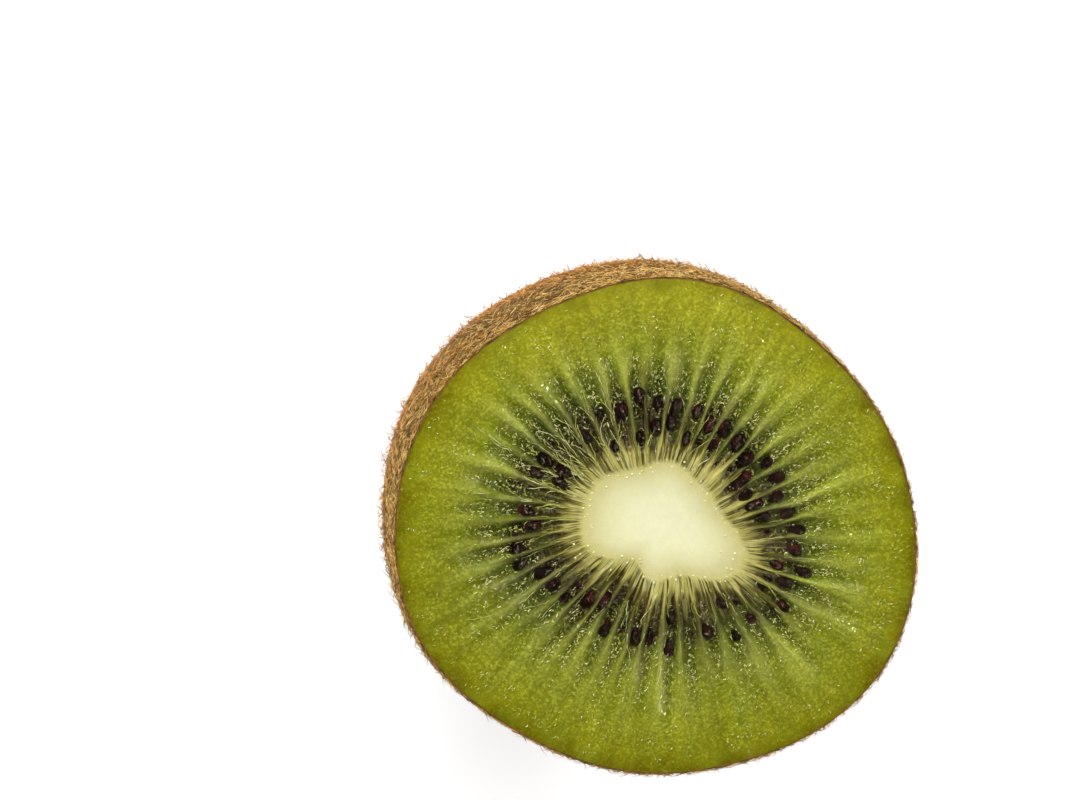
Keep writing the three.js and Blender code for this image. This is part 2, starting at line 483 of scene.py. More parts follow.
def wet_cut(node, colours, film, film_roughness):
    """Moist kiwi flesh and pith: a soft, faintly see-through body under a film of juice with sharp glints.

    Noise on `place` has so many bumps per mm, and noise on `ray` so many per radian round the core.
    """
    place = node("TexCoord", out="Object")
    across, chamber, wall = (
        node("Attribute", attribute_name=name, out="Fac") for name in ("across", "chamber", "wall")
    )
    ray = node("Attribute", attribute_name="ray", out="Vector")
    in_flesh = node("MapRange", across, 0.04, 0.14)

    # Fine fibres along the rays: noise stretched outwards. They fray every border, most of all the core's.
    fibre = node("TexNoise", ray, 26, 3, 0.62)
    fibre_off = node("Math", fibre, 0.5, operation="SUBTRACT")
    inwards, outwards = node("MapRange", across, -0.22, 0), node("MapRange", across, 0.3, 0, 0.15, 0.55)
    near_core = product(node, inwards, outwards)
    frayed = node("Math", fibre_off, near_core, across, operation="MULTIPLY_ADD")
    tooth_off = node("Math", node("TexNoise", ray, 8, 1), 0.5, operation="SUBTRACT")
    cloud_off = node("Math", node("TexNoise", place, 0.7 / MM, 3), 0.5, operation="SUBTRACT")
    for push, limits in (
        (tooth_off, (-0.3, 0, 0, 0.24)),
        (wall, (0.12, 0.3, -0.05, 0)),
        (chamber, (0.12, 0.2, 0.05, 0)),
        (cloud_off, (-0.4, 0, 0.02, 0.1)),
    ):
        frayed = node("Math", push, node("MapRange", across, *limits), frayed, operation="MULTIPLY_ADD")

    # The body's colour from the core's middle to the rind, and that of pale walls and of dark chambers.
    body = tinted(
        node, frayed, (-1, "#FAF7CC"), (-0.6, colours.core), (-0.34, "#E8E5B0"), (-0.15, "#DAD292"),
        (-0.04, "#D2CB7C"), (0.03, "#ACA252"), (0.08, "#6E6626"), (0.16, "#46401A"), (0.28, "#424018"),
        (0.36, "#53570E"), (0.45, "#60660E"), (0.6, "#7C8211"), (0.8, colours.flesh), (0.92, "#909014"),
        (0.975, "#807C0A"), (1, "#766C08"),
    )
    pale = tinted(
        node, frayed, (-0.05, "#D4CC86"), (0.05, "#A89F56"), (0.1, "#928A4E"), (0.2, "#827D4A"),
        (0.3, "#898A4C"), (0.4, "#A1A64A"), (0.55, "#AAB044"), (0.7, "#AAAE40"), (0.85, "#9C9E28"),
        (1, "#8E8E18"),
    )
    dark = tinted(
        node, frayed, (0, "#9C9044"), (0.05, "#635726"), (0.1, "#3A2C10"), (0.18, "#1A1006"),
        (0.29, "#181105"), (0.36, "#232806"), (0.44, "#303A06"), (0.55, "#44520A"), (0.7, "#64700E"),
    )
    wall_share = node(
        "Math", fibre_off, product(node, wall, 1.6), wall, operation="MULTIPLY_ADD", use_clamp=True
    )
    body = node("Mix", wall_share, body, pale, data_type="RGBA")
    grain = node("Math", node("TexNoise", place, 1.6 / MM, 3, 0.6), 0.5, operation="SUBTRACT")
    uneven = node("Math", grain, -1.3, node("MapRange", across, 0.5, 0.3, 1, 1.4), operation="MULTIPLY_ADD")
    uneven = node("Math", fibre_off, -1.4, uneven, operation="MULTIPLY_ADD")
    chamber_share = node("Math", chamber, uneven, operation="MULTIPLY", use_clamp=True)
    body = node("Mix", chamber_share, body, dark, data_type="RGBA")

    # Strands between the core and the seeds: pale threads with olive-brown gaps.
    zone = product(node, node("MapRange", across, -0.09, -0.01), node("MapRange", across, 0.26, 0.08))
    threads = node("TexNoise", ray, 32, 2, 0.6)
    bunched = node("MapRange", node("TexNoise", ray, 9, 1), 0.4, 0.6, 0.5, 1)
    strand = product(node, node("MapRange", threads, 0.52, 0.57), zone, bunched, 0.65)
    gap = product(node, node("MapRange", threads, 0.5, 0.44), zone, bunched, 0.95)
    body = node("Mix", strand, body, "#C0B764", data_type="RGBA")
    body = node("Mix", gap, body, "#352A08", data_type="RGBA")

    # Torn membrane and painted glints: the edges of wobbly cells, 0.1 mm wide, broken up by noise. Grains:
    # the middles of some smaller cells. Both are painted pale yellow-green to near white, as highlights on
    # the wet flesh. They crowd in the chambers and stand in loose clusters further out.
    wobble = wobbled(node, place, 1.5, 1.1)
    edges = node("TexVoronoi", feature="DISTANCE_TO_EDGE", Vector=wobble, Scale=1.5 / MM)
    line = node("MapRange", edges, 0.1, 0.05)
    broken = node("MapRange", node("TexNoise", place, 1.7 / MM, 1), 0.53, 0.6)
    cells = node("TexVoronoi", Vector=wobble, Scale=3.8 / MM)
    middle = node("MapRange", cells, 0.36, 0.2)
    lottery, glow, _ = node("SeparateColor", cells.node.outputs["Color"]).node.outputs
    cluster = node("MapRange", node("TexNoise", place, 0.42 / MM, 1), 0.5, 0.66)
    pulpy = product(node, node("MapRange", chamber, 0, 0.4), node("MapRange", across, 0.18, 0.36, 0.1, 0.34))
    loose = node("MapRange", across, 0.45, 0.7, 0, 0.4)
    crowd = node("Math", pulpy, loose, operation="MAXIMUM")
    crowd = node("Math", crowd, product(node, cluster, 0.8), operation="MAXIMUM")
    bare = node("MapRange", wall, 0.2, 0.7, 1, 0.3)
    crowd = product(node, crowd, in_flesh, bare, node("MapRange", across, 0.99, 0.8, 0.25, 1))
    drawn = node("Math", crowd, 0.4, lottery, operation="MULTIPLY_ADD")
    drawn = node("Math", drawn, 0.86, operation="GREATER_THAN")
    bright = node("MapRange", node("Math", glow, 1.6, operation="POWER"), 0, 1, 0.25, 1)
    grain_glints = product(node, middle, drawn, bright, node("MapRange", crowd, 0, 0.6, 0.6, 0.95), in_flesh)
    frequent = node("MapRange", chamber, 0.1, 0.5, 0.1, 0.3)
    torn_and_glint_lines = product(node, line, broken, node("MapRange", across, 0.18, 0.36), frequent)
    marks_and_glints = node("Math", torn_and_glint_lines, grain_glints, operation="MAXIMUM")
    # Painted highlights: the marks go from pale yellow-green to near white.
    mark_and_glint_tint = tinted(node, marks_and_glints, (0, "#96A020"), (0.5, "#C6CC50"), (1, "#E8EAA0"))
    body = node("Mix", marks_and_glints, body, mark_and_glint_tint, data_type="RGBA")

    # Painted light and shade by side: the flesh under the rind is painted lighter and yellower towards the
    # side the light falls from, and riper there. It is painted darker away from that side and on the shaded
    # side.
    toward_lit, toward_shaded = (
        node("VectorMath", ray, (*on_circle(np.radians(side), 1.0), 0), operation="DOT_PRODUCT")
        for side in (LIT_SIDE, SHADED_SIDE)
    )
    # Painted shade: darker away from the lit side and towards the shaded side.
    away, shaded = node("MapRange", toward_lit, 0, -0.8, 0, -0.05), node("MapRange", toward_shaded, 0.55, 1, 0, -0.09)
    side_shade = node("Math", node("Math", away, shaded, operation="ADD"), in_flesh, 1, operation="MULTIPLY_ADD")
    # Painted light with ripeness: yellower, lighter flesh towards the lit side.
    ripe_and_lit = product(node, node("MapRange", toward_lit, 0.5, 0.95), node("MapRange", across, 0.55, 0.9), 0.45)
    body = node("Mix", ripe_and_lit, body, "#B4AE2C", data_type="RGBA")

    # Slow patches of lighter and darker, greener and yellower flesh, and the faint clouds of the pith.
    patch_off = node("Math", node("TexNoise", place, 0.2 / MM), 0.5, operation="SUBTRACT")
    shades = [
        node("Math", off, node("MapRange", across, *limits), 1, operation="MULTIPLY_ADD")
        for off, limits in (
            (patch_off, (0, 0.3, 0.05, 0.45)),
            (cloud_off, (0, 0.3, 0.05, 0.3)),
            (grain, (-0.2, 0.1, 0.1, 0.4)),
            (fibre_off, (-0.2, 0.1, 0, 0.7)),
        )
    ]
    # Sand: grains of lighter and darker flesh, of which the lightest are yellow-green specks.
    grit = node("TexNoise", place, 3.8 / MM, 1)
    outer, rim = node("MapRange", across, 0, 0.6, 0.04, 1), node("MapRange", across, 0.98, 0.86, 0.35, 1)
    sandy = product(node, outer, rim)
    sand_off = node("Math", node("Math", grit, 0.5, operation="SUBTRACT"), -0.12, operation="MAXIMUM")
    sand = node("Math", sand_off, product(node, sandy, 1.15), 1, operation="MULTIPLY_ADD")
    specks = product(node, node("MapRange", grit, 0.52, 0.72), sandy, node("MapRange", across, 0.3, 0.6), 0.3)
    leafy = product(node, node("MapRange", node("TexNoise", place, 0.33 / MM), 0.45, 0.65), in_flesh, 0.2)
    body = node("Mix", specks, body, "#BCC24E", data_type="RGBA")
    body = node("Mix", leafy, body, "#6F8420", data_type="RGBA")
    toned = node("HueSaturation", Color=body, Value=product(node, *shades, sand, side_shade))

    # Juice sacs stand up as little domes, most in the chambers and clusters; the painted glint marks and the
    # fibres stand proud.
    domes = node("TexVoronoi", feature="SMOOTH_F1", Vector=wobble, Scale=2.4 / MM)
    dome_height = product(node, domes, node("MapRange", chamber, 0, 0.5, -0.04, -0.17), in_flesh)
    height = node("Math", node("TexNoise", place, 3 / MM), 0.026, dome_height, operation="MULTIPLY_ADD")
    fibre_fade = node("MapRange", across, 0.7, 0.3, 0.1, 1)
    fibre_height = product(node, fibre, node("MapRange", across, -0.1, 0.1, 0, 0.16), fibre_fade)
    height = node("Math", height, fibre_height, operation="ADD")
    height = node("Math", marks_and_glints, 0.08, height, operation="MULTIPLY_ADD")
    bump = node("Bump", Height=height, Strength=1, Distance=MM)
    return node(
        "BsdfPrincipled",
        Roughness=0.5,
        IOR=WET_IOR,
        Normal=bump,
        **{
            "Base Color": toned,
            "Specular IOR Level": 0,
            "Coat Weight": film,
            "Coat Roughness": film_roughness,
            "Coat IOR": WET_IOR,
            "Coat Normal": bump,
            "Subsurface Weight": 0.25,
            "Subsurface Radius": (1.2, 1.2, 0.4),
            "Subsurface Scale": 0.8 * MM,
        },
    )


def seed_coat(node, colours):
    """Wet kiwi seed coat: nearly black maroon with a fine net of pits, glossy under juice."""
    place = node("TexCoord", out="Object")
    coat = tinted(
        node, node("TexNoise", place, 0.7 / MM), (0.4, "#0A0403"), (0.56, colours.seed), (0.78, "#421518")
    )
    pits = node("TexVoronoi", feature="DISTANCE_TO_EDGE", Vector=place, Scale=5.5 / MM)
    bump = node("Bump", Height=pits, Strength=1, Distance=0.09 * MM)
    film = {"Coat Weight": 1, "Coat Roughness": 0.04, "Coat IOR": 1.4, "Coat Normal": bump}
    body = {"Base Color": coat, "Specular IOR Level": 0}
    return node("BsdfPrincipled", Roughness=0.4, IOR=1.42, Normal=bump, **body, **film)


def membrane_and_glint(node):
    """Torn wet membrane with painted highlights: pale yellow-green to near-white threads, the palest standing
    in for glints, with a sharp shine.
    """
    shade = node("Attribute", attribute_name="shade", out="Fac")
    tint = tinted(node, shade, (0, "#A0A22C"), (0.5, "#CCD062"), (1, "#FAF8BC"))
    body = {"Base Color": tint, "Specular IOR Level": 0.3}
    return node("BsdfPrincipled", Roughness=0.3, IOR=WET_IOR, **body)


def vein_end(node):
    """Wet cut ends of veins: pale cream beads with a sharp shine."""
    shade = node("Attribute", attribute_name="shade", out="Fac")
    tint = tinted(node, shade, (0, "#D2CA78"), (1, "#F6F2C0"))
    body = {"Base Color": tint, "Coat Weight": 0.3, "Coat Roughness": 0.1}
    return node("BsdfPrincipled", Roughness=0.4, IOR=WET_IOR, **body)


def dry_rind(node, colours):
    """Dry kiwi rind: thin, matt, leathery and olive-brown, with small rust-brown scales and fine wrinkles."""
    place = node("TexCoord", out="Object")
    down = node("Attribute", attribute_name="down", out="Fac")
    ground = node("TexNoise", place, 0.45 / MM, 4)
    skin = tinted(node, ground, (0.3, "#2C230A"), (0.5, colours.rind), (0.72, "#685222"))
    scales = node("TexVoronoi", Vector=wobbled(node, place, 1.8, 0.9), Scale=0.85 / MM)
    lottery = node("SeparateColor", scales.node.outputs["Color"])
    drawn = node("MapRange", lottery, 0.35, 0.65)
    below = node("MapRange", down, 1, 3)
    rust = product(node, node("MapRange", scales, 0.6, 0.15), drawn, 0.9, below)
    skin = node("Mix", rust, skin, "#7C4410", data_type="RGBA")
    # Painted light along the cut edge: the edge's own tan is painted lighter in patches, lifting the shade
    # along the rim.
    edge_patches = node("MapRange", node("TexNoise", place, 1.2 / MM), 0.3, 0.6, 0.3, 1)
    edge = product(node, node("MapRange", down, 0.8, 0.1), edge_patches)
    skin = node("Mix", edge, skin, "#8C6630", data_type="RGBA")
    bump = node("Bump", Height=ground, Strength=0.8, Distance=0.3 * MM)
    body = {"Base Color": skin, "Specular IOR Level": 0.15}
    return node("BsdfPrincipled", Roughness=0.8, Normal=bump, **body)


def plant_hair(node, colours):
    """Dry plant hair: brown to straw, each hair its own tone, painted darker at the root for the shade among
    the hairs and paler at the tip, rustier away from the cut.
    """
    shade, down = (node("Attribute", attribute_name=name, out="Fac") for name in ("shade", "down"))
    tint = tinted(node, shade, (0, "#241202"), (0.3, "#664010"), (0.6, colours.fuzz), (1, "#F4D080"))
    tint = node("Mix", node("MapRange", down, 4, 12, 0, 0.5), tint, "#B4661C", data_type="RGBA")
    body = {"Base Color": tint, "Specular IOR Level": 0.25, "Sheen Weight": 0.08}
    return node("BsdfPrincipled", Roughness=0.55, **body)


def scar_wood(node, colours):
    """Dry wood of the stalk's scar: dark brown with pale flaky ridges round the pit."""
    place = node("TexCoord", out="Object")
    flakes = node("TexNoise", place, 1.4 / MM, 4, 0.7)
    wood = tinted(node, flakes, (0.3, "#241509"), (0.52, colours.scar), (0.75, "#96714A"))
    bump = node("Bump", Height=flakes, Strength=1, Distance=0.4 * MM)
    return node("BsdfPrincipled", Roughness=0.85, Normal=bump, **{"Base Color": wood})


def white_paper(node):
    """Matt white paper that glows a little, so that it stays white under soft light."""
    glow = {"Emission Color": (1, 1, 1, 1), "Emission Strength": 0.55}
    return node("BsdfPrincipled", Roughness=0.95, **{"Base Color": (0.88, 0.88, 0.88, 1)}, **glow)


def cut_values(turn, across):
    """The point attributes that the cut face's material reads.

    `ray` is a point of the unit circle with a little of `across` for its height, so noise on it is stretched
    outwards. `across` is less in the dent of the core's outline, where pith fills it.
    """
    chamber, wall = chamber_masks(turn, across)
    dent = np.exp(-(((np.degrees(turn) % 360 - CORE_DENT) / 14) ** 2))
    across = across - (0.012 + 0.045 * dent) * smooth(-0.6, -0.1, across) * (1 - smooth(0.05, 0.3, across))
    across = across - pulp_reach(turn, across)
    ray = np.stack([np.cos(turn), np.sin(turn), 0.12 * across], -1)
    return {"across": across, "chamber": chamber, "wall": wall, "ray": ray}


# ---- Pieces ----


def cut_layer(turn, across, shape):
    """Points on the cut face's surface."""
    return at_height(cut_point(turn, across, shape), shape.height + cut_relief(turn, across, shape))


class KIWI_OT_flesh(bpy.types.Operator):
    """The flesh: a cut face on a grid of rays, a pocket for the core and a plain body inside the rind."""

    bl_idname = "kiwi.flesh"
    bl_label = "Flesh"

    def execute(self, context):
        shape = in_mm(context.scene.kiwi_shape)
        columns, steps = 760, 90
        turn = round_angles(columns)
        across = np.concatenate([np.linspace(0, 0.965, steps - 8), np.linspace(0.97, 1.0, 8)])
        turns, levels = np.meshgrid(turn, across)
        face = cut_layer(turns, levels, shape)
        # The pocket narrows from the face's inner ring to a tip under it, along a quarter ellipse.
        tip = np.array([*(CORE_CENTRE + fruit_axis(shape)), shape.height - shape.core_depth])
        pocket = []
        for a in np.linspace(0.35, 1.4, 4):
            share = np.array([np.sin(a), np.sin(a), 1 - np.cos(a)])
            pocket.append(tip + (face[0] - tip) * share)
        length = side_profile(shape)[0][-1]
        grid_turn, grid_down = np.meshgrid(turn, np.linspace(0.6, length, 8))
        side = side_point(grid_turn, grid_down, shape, -shape.rind / 2)
        # It stays off the rind's inner wall, most of all at the bottom.
        side[..., 2] += 0.1 + 0.1 * grid_down / length
        rings = np.concatenate([pocket, face, side])
        # The underside rises to a shallow cone over the stem scar's pit.
        points, faces, grid = loft(tip, rings, np.array([*fruit_axis(shape), side[-1, 0, 2] + 1.2]))
        # Unwrapped, the cut face is a disc in a map 60 mm wide, and all else a strip along the map's edge.
        on_face = between_rings(grid, columns, len(pocket), len(pocket) + steps - 1)
        corners = np.concatenate([part.ravel() for part in faces])
        strip = np.stack([grid[:, 1] / columns, 0.03 * (grid[:, 0] + 1) / (len(rings) + 1)], 1)
        uv = np.where(on_face[:, None], points[corners][:, :2] / 60 + 0.5, strip)
        ring_across = np.concatenate([np.full(len(pocket), -0.02), across, np.full(len(side), 1.0)])
        all_across = np.concatenate([[-0.02], np.repeat(ring_across, columns), [1.0]])
        all_turn = np.concatenate([[0], np.tile(turn, len(rings)), [0]])
        colours = context.scene.kiwi_colours
        material = material_of("moist_flesh", wet_cut, colours, film=1.0, film_roughness=0.06)
        values = cut_values(all_turn, all_across)
        piece = put_mesh("flesh_half", points, faces, material, values, uv, sharp=1.0)
        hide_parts("flesh")
        return {"FINISHED"}


class KIWI_OT_core(bpy.types.Operator):
    """The core: a pale column whose top meets the flesh."""

    bl_idname = "kiwi.core"
    bl_label = "Core"

    def execute(self, context):
        shape = in_mm(context.scene.kiwi_shape)
        columns, steps = 400, 24
        turn = round_angles(columns)
        across = np.linspace(-1, 0, steps + 1)[1:]
        turns, levels = np.meshgrid(turn, across)
        face = cut_layer(turns, levels, shape)
        middle = cut_layer(np.zeros(1), np.full(1, -1.0), shape)[0]
        axis = CORE_CENTRE + fruit_axis(shape)
        depth = shape.core_depth - 0.3
        # The column's side curves in to its tip along a quarter ellipse, a little inside the pocket.
        wall = []
        for a in np.linspace(0.2, np.pi / 2 - 0.1, 7):
            flat = axis + (face[-1][:, :2] - axis) * (np.cos(a) - 0.01)
            wall.append(at_height(flat, shape.height - depth * np.sin(a)))
        rings = np.concatenate([face, wall])
        points, faces, grid = loft(middle, rings, np.array([*axis, shape.height - depth]))
        # Unwrapped, the top is a disc in a map 24 mm wide, and all else a strip along the map's edge.
        on_top = between_rings(grid, columns, -1, steps - 1)
        corners = np.concatenate([part.ravel() for part in faces])
        lower = (grid[:, 0] - steps + 1) / (len(rings) - steps + 2)
        strip = np.stack([grid[:, 1] / columns, 0.06 * lower], 1)
        uv = np.where(on_top[:, None], (points[corners][:, :2] - axis) / 24 + 0.5, strip)
        ring_across = np.concatenate([across, np.full(len(wall), -0.1)])
        all_across = np.concatenate([[-1.0], np.repeat(ring_across, columns), [-0.1]])
        all_turn = np.concatenate([[0], np.tile(turn, len(rings)), [0]])
        colours = context.scene.kiwi_colours
        material = material_of("moist_pith", wet_cut, colours, film=0.25, film_roughness=0.4)
        values = cut_values(all_turn, all_across)
        piece = put_mesh("core_column", points, faces, material, values, uv, sharp=1.0)
        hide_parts("core")
        return {"FINISHED"}


class KIWI_OT_rind(bpy.types.Operator):
    """The rind: a thin closed shell round the flesh, lumpy outside, with its cut edge showing as a line."""

    bl_idname = "kiwi.rind"
    bl_label = "Rind"

    def execute(self, context):
        shape = in_mm(context.scene.kiwi_shape)
        columns = 288
        turn = round_angles(columns)
        axis = fruit_axis(shape)
        length = side_profile(shape)[0][-1]
        inner_turn, inner_down = np.meshgrid(turn, np.linspace(length, 0, 8))
        inner = side_point(inner_turn, inner_down, shape, -shape.rind * 0.6)
        inner[..., 2] += 0.25 * inner_down / length  # thicker towards the stem end
        outer_turn, outer_down = np.meshgrid(turn, np.linspace(0, length, 64))
        lump = value_noise(6 * np.cos(outer_turn) + 30, 6 * np.sin(outer_turn) + outer_down / 3, 41)
        x, y = 16 * np.cos(outer_turn) + 30, 16 * np.sin(outer_turn) + outer_down / 1.2
        lump += 0.5 * value_noise(x, y, 42)
        outer = side_point(outer_turn, outer_down, shape, shape.rind / 2)
        sideways = side_normal(outer_turn, outer_down, shape) * [1, 1, 0]
        fade = smooth(0, 1.5, outer_down) * (1 - smooth(0.8, 1.0, outer_down / length))
        outer += sideways * ((lump - 0.75) * 0.3 * fade)[..., None]
        outer[0, :, 2] -= 0.03  # the cut edge slopes a little outwards
        pit_rings = []
        for radius, height in ((4.5, 0.02), (3.6, 0.25), (2.1, 0.7)):
            pit_rings.append(at_height(on_circle(turn, radius) + axis, height))
        rings = np.concatenate([inner, outer, pit_rings])
        points, faces, grid = loft(np.array([*axis, 1.1]), rings, np.array([*axis, 0.85]))
        # Unwrapped, the outside is a disc round the pit, and the inside a small patch in the map's corner.
        outside = between_rings(grid, columns, len(inner), len(rings))
        spread = 0.47 * (1 - (grid[:, 0] - len(inner)) / (len(rings) - len(inner) + 1))
        angle = grid[:, 1] / columns * 2 * np.pi
        disc = 0.5 + np.stack([spread * np.cos(angle), spread * np.sin(angle)], 1)
        corner = np.stack([0.1 * grid[:, 1] / columns, 0.1 * (grid[:, 0] + 1) / (len(inner) + 2)], 1)
        uv = np.where(outside[:, None], disc, corner)
        material = material_of("dry_rind", dry_rind, context.scene.kiwi_colours)
        ring_down = np.concatenate([[0.0] * len(inner), outer_down[:, 0], [length] * len(pit_rings)])
        down = np.concatenate([[0], np.repeat(ring_down, columns), [length]])
        put_mesh("rind_shell", points, faces, material, {"down": down}, uv, sharp=1.0)
        return {"FINISHED"}


class KIWI_OT_scar(bpy.types.Operator):
    """The stem scar: a ridged woody ring in the middle of the flat spot."""

    bl_idname = "kiwi.scar"
    bl_label = "Stem scar"

    def execute(self, context):
        shape = in_mm(context.scene.kiwi_shape)
        columns = 160
        turn = round_angles(columns)
        axis = fruit_axis(shape)
        rings = []
        for radius, height, rough in (
            (1.4, 1.0, 0.1), (3.9, 0.75, 0.25), (4.3, 0.35, 0.5), (4.0, 0.1, 0.45), (3.4, 0.06, 0.3),
            (2.7, 0.1, 0.3), (2.1, 0.35, 0.25), (1.5, 0.55, 0.15), (0.8, 0.6, 0.1),
        ):
            uneven = value_noise(5 * np.cos(turn) + radius * 3, 5 * np.sin(turn) + 9, 51) - 0.5
            ridges = value_noise(turn / (2 * np.pi) * 64, np.full(columns, radius * 2.0), 52) - 0.5
            flat = on_circle(turn, radius + rough * uneven + 0.5 * rough * ridges) + axis
            rings.append(at_height(flat, np.maximum(height + 0.25 * rough * ridges, 0.03)))
        points, faces, _ = loft(np.array([*axis, 1.05]), np.array(rings), np.array([*axis, 0.62]))
        material = material_of("dry_scar_wood", scar_wood, context.scene.kiwi_colours)
        put_mesh("stem_scar", points, faces, material)
        return {"FINISHED"}


def seed_places():
    """Where the seeds lie: turn, across, length, slimness and how deep, by each chamber's count that show.

    Chambers with one or none that shows also hold one that has nearly sunk into the flesh. On one side of
    the fruit all lie further out.
    """
    rng = np.random.default_rng(17)
    showing = {"1": (0.27,), "2": (0.16, 0.33), "3": (0.09, 0.21, 0.35)}
    sunken = {"0": (0.3,), "1": (0.14,)}
    rows = []
    for k, count in enumerate(SEEDS_SHOWING):
        wall, span = PLAN["walls"][k], PLAN["walls"][k + 1] - PLAN["walls"][k]
        for spots, low, high, size in ((showing, -0.1, 0.45, 1.0), (sunken, 0.9, 1.2, 0.9)):
            for spot in spots.get(count, ()):
                outwards = 0.13 * np.exp(-(((wall - np.radians(FAR_SEED_SIDE)) / 0.12) ** 2))
                rows.append(
                    (
                        wall + span * rng.uniform(0.35, 0.65),
                        spot + outwards + rng.uniform(-0.045, 0.045),
                        size * rng.uniform(0.8, 1.15),
                        rng.uniform(0.56, 0.66),
                        rng.uniform(low, high),
                    )
                )
    return np.array(rows).T


def seed_frames(shape):
    """Each seed's middle, and its half axes: along it (outwards), across it and upwards."""
    turn, across, size, slim, sink = seed_places()
    rng = np.random.default_rng(18)
    length = shape.seed_length * size
    scale = np.stack([length / 2, length * slim / 2, length * slim * 0.38], 1)
    here, further = cut_layer(turn, across, shape), cut_layer(turn, across + 0.05, shape)
    forward = unit((further - here) * [1, 1, 0])
    forward[:, 2] = rng.uniform(-0.2, 0.2, len(turn))
    twist = rng.uniform(-0.3, 0.3, len(turn))[:, None]
    forward = unit(forward * np.cos(twist) + np.cross([0, 0, 1.0], forward) * np.sin(twist))
    sideways = unit(np.cross([0, 0, 1.0], forward))
    middle = here * [1, 1, 0] + [0, 0, shape.height]
    middle[:, 2] -= 0.2 + sink * scale[:, 2]
    return middle, np.stack([forward, sideways, np.cross(forward, sideways)], 1) * scale[:, :, None]


class KIWI_OT_seeds(bpy.types.Operator):
    """The seeds: drops with their points to the core, in the chambers, some nearly sunk in the flesh."""

    bl_idname = "kiwi.seeds"
    bl_label = "Seeds"

    def execute(self, context):
        # One seed: rings along its axis, of radius the root of a parabola, narrowed towards the core.
        along = -np.cos(np.linspace(0, np.pi, 14))[1:-1]
        radius = np.sqrt(1 - along**2) * (1 + 0.3 * along)
        rings = at_height(on_circle(round_angles(18), radius[:, None]), along[:, None])[..., [2, 0, 1]]
        one, faces, _ = loft(np.array([-1.0, 0, 0]), rings[:, ::-1], np.array([1.0, 0, 0]))
        middle, axes = seed_frames(in_mm(context.scene.kiwi_shape))
        points = (middle[:, None] + one[None] @ axes).reshape(-1, 3)
        material = material_of("wet_seed_coat", seed_coat, context.scene.kiwi_colours)
        put_mesh("seeds", points, copies(len(one), faces, len(middle)), material)
        return {"FINISHED"}


class KIWI_OT_bundles(bpy.types.Operator):
    """The cut ends of the fruit's veins: small pale domes just inside the core's border."""

    bl_idname = "kiwi.bundles"
    bl_label = "Vein ends"

    def execute(self, context):
        shape = in_mm(context.scene.kiwi_shape)
        rng = np.random.default_rng(23)
        count = 72
        turn = (np.arange(count) + rng.uniform(0, 0.9, count)) / count * 2 * np.pi
        middle = cut_layer(turn, rng.normal(-0.085, 0.06, count), shape)
        tall = np.linspace(-1, 1, 6)[1:-1]
        rings = at_height(on_circle(round_angles(10), np.sqrt(1 - tall**2)[:, None]), tall[:, None])
        one, faces, _ = loft(np.array([0, 0, 1.0]), rings[::-1], np.array([0, 0, -1.0]))
        size = rng.uniform(0.065, 0.14, count)[:, None, None] * np.array([1, 1, 0.5])
        points = (middle[:, None] + one[None] * size).reshape(-1, 3)
        shade = np.repeat(rng.uniform(0.3, 1, count), len(one))
        material = material_of("vein_end", vein_end)
        put_mesh("vein_ends", points, copies(len(one), faces, count), material, {"shade": shade})
        return {"FINISHED"}


def lie_on_face(name, turn, across, turns, lengths, radii, shade, shape):
    """Threads on the cut face: each starts at a place and turns step by step, from the outward ray's way."""
    start = cut_layer(turn, across, shape)
    outwards = unit((cut_layer(turn, across + 0.02, shape) - start) * [1, 1, 0])
    sideways = np.cross([0, 0, 1.0], outwards)
    angle = np.cumsum(turns, 1)[..., None]
    step = lengths[:, None, None] * (np.cos(angle) * outwards[:, None] + np.sin(angle) * sideways[:, None])
    paths = np.concatenate([start[:, None], start[:, None] + np.cumsum(step, 1)], 1)
    paths[..., 2] += 0.02
    points, faces, per = strands(paths, radii, np.tile([0, 0, 1.0], (len(turn), 1)))
    put_mesh(name, points, faces, material_of(name, membrane_and_glint), {"shade": np.repeat(shade, per)})


